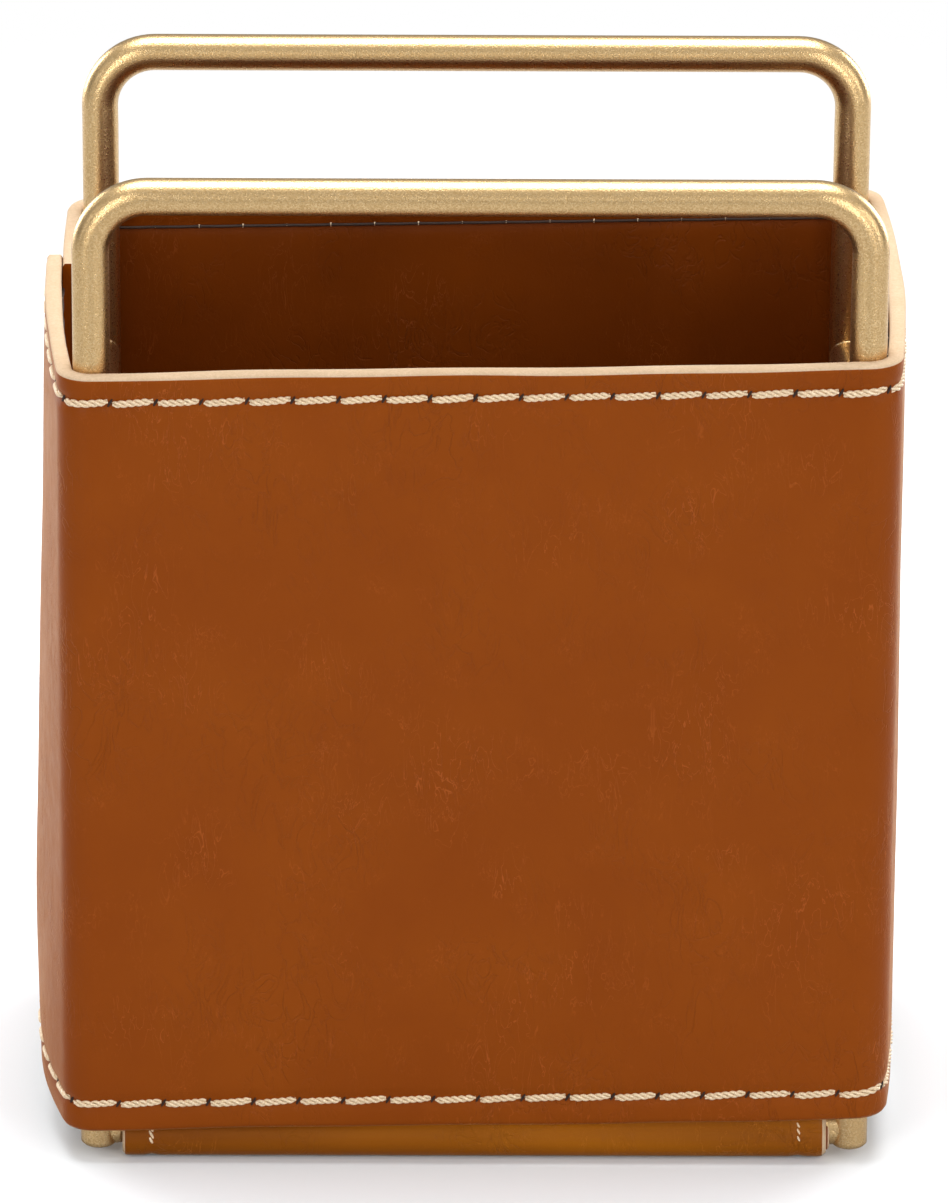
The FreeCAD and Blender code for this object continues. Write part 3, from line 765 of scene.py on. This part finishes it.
def twisted_stitch(shape, place, start, stop, slant, thickness=1.0):
    """One stitch of twisted plies, which rises out of one hole and dives into the next."""
    length = stop - start
    shares = np.linspace(0, 1, STITCH_STEPS)
    rises = smooth_step(np.minimum(shares, 1 - shares) * length / DIVE_LENGTH)
    swells = PINCH + FULLNESS * rises
    lean = slant * (1 + LEAN_SPREAD * rng.uniform(-1, 1))
    bow_up = BOW_SPREAD * rng.uniform(-1, 1)
    phase = rng.uniform(0, 2 * math.pi)
    lift = THREAD_LIFT * rng.uniform(*LIFT_SPREAD)
    plies = [[] for _ in range(PLIES)]
    for share, rise, swell in zip(shares, rises, swells):
        spot, outward, across = place(start + share * length)
        height = THREAD_DIVE + (lift - THREAD_DIVE) * rise
        slip = lean * (2 * share - 1) + bow_up * math.sin(math.pi * share)
        middle = spot + outward * height + across * slip
        for ply in range(PLIES):
            turn = phase + 2 * math.pi * (share * length / PLY_TWIST + ply / PLIES)
            offset = outward * math.cos(turn) * PLY_FLAT + across * math.sin(turn)
            plies[ply].append(middle + offset * PLY_OFFSET * (thickness * swell))
    for path in plies:
        tube(shape, path, PLY_RADIUS * thickness * swells, PLY_SIDES)


def stitches_between(shape, place, holes, slant=STITCH_SLANT):
    for start, stop in zip(holes[:-1], holes[1:]):
        twisted_stitch(shape, place, start + STITCH_GAP, stop - STITCH_GAP, slant)


def slit(shape, spot, outward, across, along):
    """The slanted mark of the stitching chisel: a sunken lens in the leather, near black as painted
    shade for the dark inside of the hole.
    """
    lean = unit(across - SLIT_LEAN * along)
    beside = unit(np.cross(outward, lean))
    turns = np.linspace(0, 2 * math.pi, SLIT_SIDES, endpoint=False)
    rings = []
    for share, height in SLIT_RINGS:
        rings.append(spot + outward * height
                     + np.outer(np.cos(turns), lean) * share * SLIT_LENGTH / 2
                     + np.outer(np.sin(turns), beside) * share * SLIT_WIDTH / 2)
    shape.loops(rings)


def slits_at(shape, place, holes, sink):
    for hole in holes:
        spot, outward, across = place(hole)
        ahead, _, _ = place(hole + AHEAD)
        slit(shape, spot - outward * sink, outward, across, unit(ahead - spot))


def bobbin_row(shape_dark, shape_pale, height, holes):
    """The row's underside, inside the cup: dark thread, with pale loops at the holes."""
    place = on_sleeve(height, -LINING)
    for start, stop in zip(holes[:-1], holes[1:]):
        path = []
        for share in np.linspace(0, 1, BOBBIN_STEPS):
            spot, outward, _ = place(start + share * (stop - start))
            lift = BOBBIN_LIFT + BOBBIN_BOW * math.sin(math.pi * share)
            path.append(spot - outward * lift)
        tube(shape_dark, path, BOBBIN_RADIUS, BOBBIN_SIDES)
    for hole in holes:
        spot, outward, across = place(hole)
        half = rng.uniform(*LOOP_HALF)
        path = [spot + across * step * half - outward * (LOOP_LIFT - LOOP_DIVE * step * step)
                for step in np.linspace(-1, 1, LOOP_STEPS)]
        tube(shape_pale, path, LOOP_RADIUS, LOOP_SIDES)


def all_threads():
    dark = Shape()
    hole_shade_shape = Shape()
    for name, height, holes, node in (
            ("top_row_thread", TOP_ROW, TOP_HOLES, "top_edge_stitches"),
            ("bottom_row_thread", BOTTOM_ROW, BOTTOM_HOLES, "bottom_edge_stitches")):
        pale = Shape()
        place = on_sleeve(height, SKIN)
        stitches_between(pale, place, holes)
        slits_at(hole_shade_shape, place, holes, ROW_SINK)
        bobbin_row(dark, pale, height, holes)
        pale.build(name, [THREAD], [node])
    seam = Shape()
    stitches_between(seam, on_seam, SEAM_HOLES, SEAM_SLANT)
    slits_at(hole_shade_shape, on_seam, SEAM_HOLES, SEAM_SINK)
    seam.build("side_seam_thread", [THREAD], ["side_seam_stitches"])
    dark.build("bobbin_thread", [BOBBIN], ())
    # The slit lenses take painted shade, near black, for the holes' dark insides.
    hole_shade_shape.build("needle_hole_shades", [HOLE_SHADE], ())


# ------------------------------------------------------------------ base

BOTTOM_ROUND, TOP_ROUND = 2.2, 3.1
TUCK_START, TUCK_FULL, TUCK = 3.2, 4.3, 0.85  # heights, and how far it is pressed in
TUCK_FROM, TUCK_OVER = 21, 4  # along Y: only near the front and rear
REAR_TUCK = TUCK - REAR_SLACK + 0.1  # less, because the sleeve's rear wall stands off
SLOT_ARC_POINTS, SLOT_FLAT_POINTS = 11, 41
BASE_ROWS = (-37.1, 37.2)
BASE_PITCH = 4.6
BASE_FIRST_HOLE, BASE_LAST_HOLE = 2.9, 0.1  # from the section's start and its end
BASE_THREAD, BASE_THREAD_UNDER = 0.85, 0.58  # thickness of its thread
GROOVE, GROOVE_UNDER, GROOVE_WIDTH = 0.15, 0.62, 0.55
UNDER_FROM, UNDER_OVER = 0.93, 0.06  # how squarely the deeper groove's face looks down
FACES_DOWN = -0.5  # an outward direction that counts as underneath
BASE_COLUMN = 1.2  # spacing of the mesh along the base
BASE_ENDS = (3.0, 2.5)  # its even stations keep this far from the ends
ROW_STEPS = (-1.4, -1.0, -0.7, -0.35, 0, 0.35, 0.7, 1.0, 1.4)
ROW_CLEAR = 1.6  # and this far from a thread row, which has stations of its own
CUT_SKIVE, CUT_LIP = 0.6, 0.06  # a cut end: share of thickness lost, and its lip
UNDER_GROOVE = 0.5  # how much of the thread rows the under layer shows
BASE_SWELL, BASE_SWELL_X, BASE_SWELL_Y, BASE_SWELL_LONG = 0.03, 5.1, 9, 13

WRAP = inner_low[2]  # thickness of the outer layer
UNDER_WRAP = WRAP - 0.1
# Each layer's ends, a little short of the CAD's as in the photograph, and how they are skived.
WRAP_ENDS, WRAP_SKIVE = (wrap_low[0], wrap_high[0] - 0.4), (0.28, 0.45)
UNDER_ENDS, UNDER_SKIVE = (wrap_low[0] + 0.1, inner_high[0] - 0.5), (0.2, 0.2)


def base_outline(inset):
    """The base's section in the YZ plane, inset from its outer face: a flat slot with round
    ends, pressed in where the sleeve's lower edge covers it.  It starts at the front, on
    top, and runs down the front, under, up the rear and back over the top."""
    turns = np.radians(np.linspace(0, 90, SLOT_ARC_POINTS))
    low_y = BASE_FRONT - BOTTOM_ROUND
    high_y = BASE_FRONT - TOP_ROUND
    low = BOTTOM_ROUND - inset
    high = TOP_ROUND - inset
    front_top = np.stack([-high_y - high * np.sin(turns),
                          BASE_TOP - TOP_ROUND + high * np.cos(turns)], axis=1)
    front_low = np.stack([-low_y - low * np.cos(turns),
                          BOTTOM_ROUND - low * np.sin(turns)], axis=1)
    under_y = np.linspace(-low_y, low_y, SLOT_FLAT_POINTS)[1:-1]
    under = np.stack([under_y, np.full(len(under_y), inset)], axis=1)
    over_y = np.linspace(high_y, -high_y, SLOT_FLAT_POINTS)[1:-1]
    over = np.stack([over_y, np.full(len(over_y), BASE_TOP - inset)], axis=1)
    rear_low = front_low[::-1] * (-1, 1)
    rear_top = front_top[::-1] * (-1, 1)
    outline = np.concatenate([front_top, front_low, under, rear_low, rear_top, over])
    deepest = np.where(outline[:, 0] > 0, REAR_TUCK, TUCK)
    tuck = deepest * smooth_step((outline[:, 1] - TUCK_START) / (TUCK_FULL - TUCK_START))
    at_wall = smooth_step((np.abs(outline[:, 0]) - TUCK_FROM) / TUCK_OVER)
    outline[:, 0] -= np.sign(outline[:, 0]) * tuck * at_wall
    return outline


def outline_normals(outline):
    ahead = np.roll(outline, -1, axis=0) - np.roll(outline, 1, axis=0)
    return unit(np.stack([-ahead[:, 1], ahead[:, 0]], axis=1)) * -1


def base_stations(left, right):
    """Mesh stations along the base, close together at its thread rows."""
    even = np.arange(left + BASE_ENDS[0], right - BASE_ENDS[1], BASE_COLUMN)
    stations = set(np.round(even, 3))
    for row in BASE_ROWS:
        stations = {x for x in stations if abs(x - row) > ROW_CLEAR}
        stations |= {row + step for step in ROW_STEPS}
    return sorted(stations)


def groove(x, outward_z):
    """How deep a thread row lies in the base: deepest underneath, where the cup stands."""
    under = smooth_step((-outward_z - UNDER_FROM) / UNDER_OVER)
    depth = GROOVE + (GROOVE_UNDER - GROOVE) * under
    return sum(depth * math.exp(-((x - row) / GROOVE_WIDTH) ** 2) for row in BASE_ROWS)


def base_layer(name, outer_inset, thickness, ends, skive, material, cad_node):
    """One leather layer round the base, its cut ends skived a little so that they show."""
    outline = base_outline(outer_inset)
    normals = outline_normals(outline)
    inner = base_outline(outer_inset + thickness)
    left, right = ends
    skive_left, skive_right = skive
    cut_depth = CUT_SKIVE * thickness
    stations = [(left, cut_depth), (left + skive_left, CUT_LIP), (left + 2 * skive_left, 0.0)]
    stations += [(x, 0.0) for x in base_stations(left, right)]
    stations += [(right - 2 * skive_right, 0.0), (right - skive_right, CUT_LIP), (right, cut_depth)]
    groove_share = 1 if outer_inset == 0 else UNDER_GROOVE
    rings = []
    for index, (point, normal) in enumerate(zip(outline, normals)):
        ring = []
        for x, cut in stations:
            sunk = cut + groove(x, normal[1]) * groove_share
            if normal[1] >= FACES_DOWN:
                wave = math.sin(x / BASE_SWELL_X + point[0] / BASE_SWELL_Y)
                sunk -= BASE_SWELL * wave * math.sin(x / BASE_SWELL_LONG + 1)
            y, z = point - normal * sunk
            ring.append((x, y, z))
        ring.append((right, *inner[index]))
        ring.append((left, *inner[index]))
        rings.append(ring)
    last = len(stations) - 1
    ring_slots = [0] * (len(stations) + 2)
    for cut_side in (0, last - 1, last, last + 2):
        ring_slots[cut_side] = 1
    shape = Shape()
    shape.loops(rings, ring_slots=ring_slots, caps=False, closed=True)
    shape.build(name, [material, EDGE], [cad_node])


def on_base(row):
    """A function of distance round the base's section, from the top of its front."""
    outline = base_outline(0)
    normals = outline_normals(outline)
    closed = np.concatenate([outline, outline[:1]])
    closed_normals = np.concatenate([normals, normals[:1]])
    along = np.concatenate([[0], np.cumsum(np.linalg.norm(np.diff(closed, axis=0), axis=1))])

    def place(distance):
        point = [np.interp(distance, along, closed[:, axis]) for axis in range(2)]
        normal = unit([np.interp(distance, along, closed_normals[:, axis]) for axis in range(2)])
        sunk = groove(row, normal[1])
        outward = np.array([0.0, *normal])
        spot = np.array([row, *point]) - outward * sunk
        return spot, outward, np.array([1.0, 0.0, 0.0])

    return place, along[-1]


def base():
    base_layer("base_wrap", 0.0, WRAP, WRAP_ENDS, WRAP_SKIVE,
               BASE_LEATHER, "base_wrap_leather")
    base_layer("base_under_wrap", WRAP, UNDER_WRAP, UNDER_ENDS, UNDER_SKIVE,
               INSIDE, "base_inner_leather")
    for name, row, node in (("base_left_thread", BASE_ROWS[0], "base_left_stitches"),
                            ("base_right_thread", BASE_ROWS[1], "base_right_stitches")):
        place, length = on_base(row)
        shape = Shape()
        count = round(length / BASE_PITCH) + 1
        holes = np.linspace(BASE_FIRST_HOLE, length - BASE_LAST_HOLE, count)
        for start, stop in zip(holes[:-1], holes[1:]):
            outward = place((start + stop) / 2)[1]
            thickness = BASE_THREAD_UNDER if outward[2] < FACES_DOWN else BASE_THREAD
            twisted_stitch(
                shape, place, start + STITCH_GAP, stop - STITCH_GAP, BASE_SLANT, thickness)
        shape.build(name, [THREAD], [node])


# ------------------------------------------------------------------ camera, floor and light

CAMERA_DISTANCE = 1.25
CAMERA_AIM = (0.0, 0.0, 0.0611)
CAMERA_PITCH, CAMERA_YAW, CAMERA_ROLL = 22.0, 0.675, 0.42
CAMERA_SLIDE = (-0.0002, -0.0026)
LENS, SENSOR = 324.9, 36  # millimetres
CLIP_START = 0.01
FLOOR_HALF = 3.0  # half the floor's side, in metres
FLOOR_SEEN, FLOOR_BOUNCE = (0.83, 0.85, 0.87), (0.5, 0.5, 0.5)
FLOOR_FADE = (0.11, 0.38)  # distances, in metres, over which it fades away
SKY_LOW, SKY_HIGH, SKY_SEEN = (0.18,) * 3, (0.8,) * 3, (1, 1, 1)
LIGHT_AIM = (0, 0, 0.06)
# name, place, width, height, power in watts
SOFTBOXES = (
    ("overhead", (0, 0.10, 0.75), 0.6, 0.45, 6.0),
    ("left", (-0.45, -0.76, 0.33), 0.12, 0.62, 2.0),
    ("right", (0.45, -0.76, 0.33), 0.12, 0.62, 2.0),
    ("side_left", (-0.80, -0.34, 0.30), 0.20, 0.50, 0.4),
    ("side_right", (0.80, -0.34, 0.30), 0.20, 0.50, 1.2),
    ("front", (0, -1.7, 0.45), 1.0, 0.5, 1.2),
    ("rear_left", (-0.55, 0.50, 0.20), 0.25, 0.40, 2.5),
    ("rear_right", (0.55, 0.50, 0.20), 0.25, 0.40, 3.0),
)


def camera():
    """The photograph's view: a long lens, looking down on the front."""
    pitch, yaw, roll = (math.radians(turn) for turn in (CAMERA_PITCH, CAMERA_YAW, CAMERA_ROLL))
    level = Vector((math.cos(yaw), -math.sin(yaw), 0))
    ahead = Vector((math.sin(yaw) * math.cos(pitch), math.cos(yaw) * math.cos(pitch),
                    -math.sin(pitch)))
    upright = level.cross(ahead)
    right = math.cos(roll) * level + math.sin(roll) * upright
    up = -math.sin(roll) * level + math.cos(roll) * upright
    place = Vector(CAMERA_AIM) - CAMERA_DISTANCE * ahead
    place += CAMERA_SLIDE[0] * right + CAMERA_SLIDE[1] * up
    turn = Matrix((right, up, -ahead)).transposed().to_4x4()
    data = bpy.data.cameras.new("camera")
    data.lens = LENS
    data.sensor_width = SENSOR
    data.clip_start = CLIP_START
    view = bpy.data.objects.new("camera", data)
    view.matrix_world = Matrix.Translation(place) @ turn
    bpy.context.scene.collection.objects.link(view)
    bpy.context.scene.camera = view


def floor():
    """A plain white floor, which the camera sees at full strength but which bounces less
    light on to the cup, and which fades into the white background further out."""
    mesh = bpy.data.meshes.new("floor")
    corners = [(x * FLOOR_HALF, y * FLOOR_HALF, 0) for x, y in ((-1, -1), (1, -1), (1, 1), (-1, 1))]
    mesh.from_pydata(corners, [], [(0, 1, 2, 3)])
    material = bpy.data.materials.new("floor")
    material.use_nodes = True
    tree = material.node_tree
    new, link = tree.nodes.new, tree.links.new
    tree.nodes.remove(tree.nodes["Principled BSDF"])
    shaders = {}
    for use, tone in (("bounce", FLOOR_BOUNCE), ("seen", FLOOR_SEEN)):
        shaders[use] = new("ShaderNodeBsdfDiffuse")
        shaders[use].inputs["Color"].default_value = (*tone, 1)
    place = new("ShaderNodeTexCoord")
    distance = new("ShaderNodeVectorMath")
    distance.operation = "LENGTH"
    fade = new("ShaderNodeMapRange")
    fade.interpolation_type = "SMOOTHSTEP"
    fade.inputs["From Min"].default_value, fade.inputs["From Max"].default_value = FLOOR_FADE
    clear = new("ShaderNodeBsdfTransparent")
    fading = new("ShaderNodeMixShader")
    link(place.outputs["Object"], distance.inputs[0])
    link(distance.outputs["Value"], fade.inputs["Value"])
    link(fade.outputs["Result"], fading.inputs["Fac"])
    link(shaders["seen"].outputs["BSDF"], fading.inputs[1])
    link(clear.outputs["BSDF"], fading.inputs[2])
    path = new("ShaderNodeLightPath")
    choose = new("ShaderNodeMixShader")
    link(path.outputs["Is Camera Ray"], choose.inputs["Fac"])
    link(shaders["bounce"].outputs["BSDF"], choose.inputs[1])
    link(fading.outputs["Shader"], choose.inputs[2])
    link(choose.outputs["Shader"], tree.nodes["Material Output"].inputs["Surface"])
    mesh.materials.append(material)
    plane = bpy.data.objects.new("floor", mesh)
    bpy.context.scene.collection.objects.link(plane)


def softbox(name, place, width, height, power):
    data = bpy.data.lights.new(name, "AREA")
    data.shape = "RECTANGLE"
    data.size = width
    data.size_y = height
    data.energy = power
    light = bpy.data.objects.new(name, data)
    light.location = place
    aim = Vector(LIGHT_AIM) - Vector(place)
    light.rotation_euler = aim.to_track_quat("-Z", "Y").to_euler()
    bpy.context.scene.collection.objects.link(light)


def studio():
    """A white tent: brightest overhead, darker low down, with softboxes round the cup."""
    world = bpy.data.worlds.new("studio")
    bpy.context.scene.world = world
    world.use_nodes = True
    tree = world.node_tree
    new, link = tree.nodes.new, tree.links.new
    background = tree.nodes["Background"]
    place = new("ShaderNodeTexCoord")
    parts = new("ShaderNodeSeparateXYZ")
    ramp = new("ShaderNodeValToRGB")
    link(place.outputs["Generated"], parts.inputs["Vector"])
    link(parts.outputs["Z"], ramp.inputs["Fac"])
    link(ramp.outputs["Color"], background.inputs["Color"])
    for end, tone in enumerate((SKY_LOW, SKY_HIGH)):
        ramp.color_ramp.elements[end].position = end
        ramp.color_ramp.elements[end].color = (*tone, 1)
    seen = new("ShaderNodeBackground")
    seen.inputs["Color"].default_value = (*SKY_SEEN, 1)
    choose = new("ShaderNodeMixShader")
    path = new("ShaderNodeLightPath")
    out = tree.nodes["World Output"]
    link(path.outputs["Is Camera Ray"], choose.inputs["Fac"])
    link(background.outputs["Background"], choose.inputs[1])
    link(seen.outputs["Background"], choose.inputs[2])
    link(choose.outputs["Shader"], out.inputs["Surface"])
    for row in SOFTBOXES:
        softbox(*row)


# ------------------------------------------------------------------ the scene

camera()
hoop("front_hoop", -1)
hoop("rear_hoop", 1)
for level in ("upper", "lower"):
    tie_low, tie_high = box_mm(f"{level}_left_tie")
    for side_name, side in (("left", -1), ("right", 1)):
        tie(f"{level}_{side_name}_tie", side, (tie_low[2] + tie_high[2]) / 2)
braze_beads()
foot_fillets()
for node, material in (("front_base_rod", GOLD), ("rear_base_rod", GOLD), ("base_board", BOARD)):
    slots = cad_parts[node].data.materials
    slots.clear()
    slots.append(material)
strip_layer("sleeve_skin", SKIN, LEATHER, "sleeve_outer_leather")
strip_layer("sleeve_lining", -LINING, INSIDE, "sleeve_lining_leather")
all_threads()
base()
floor()
studio()
bpy.context.scene.view_settings.view_transform = "Standard"
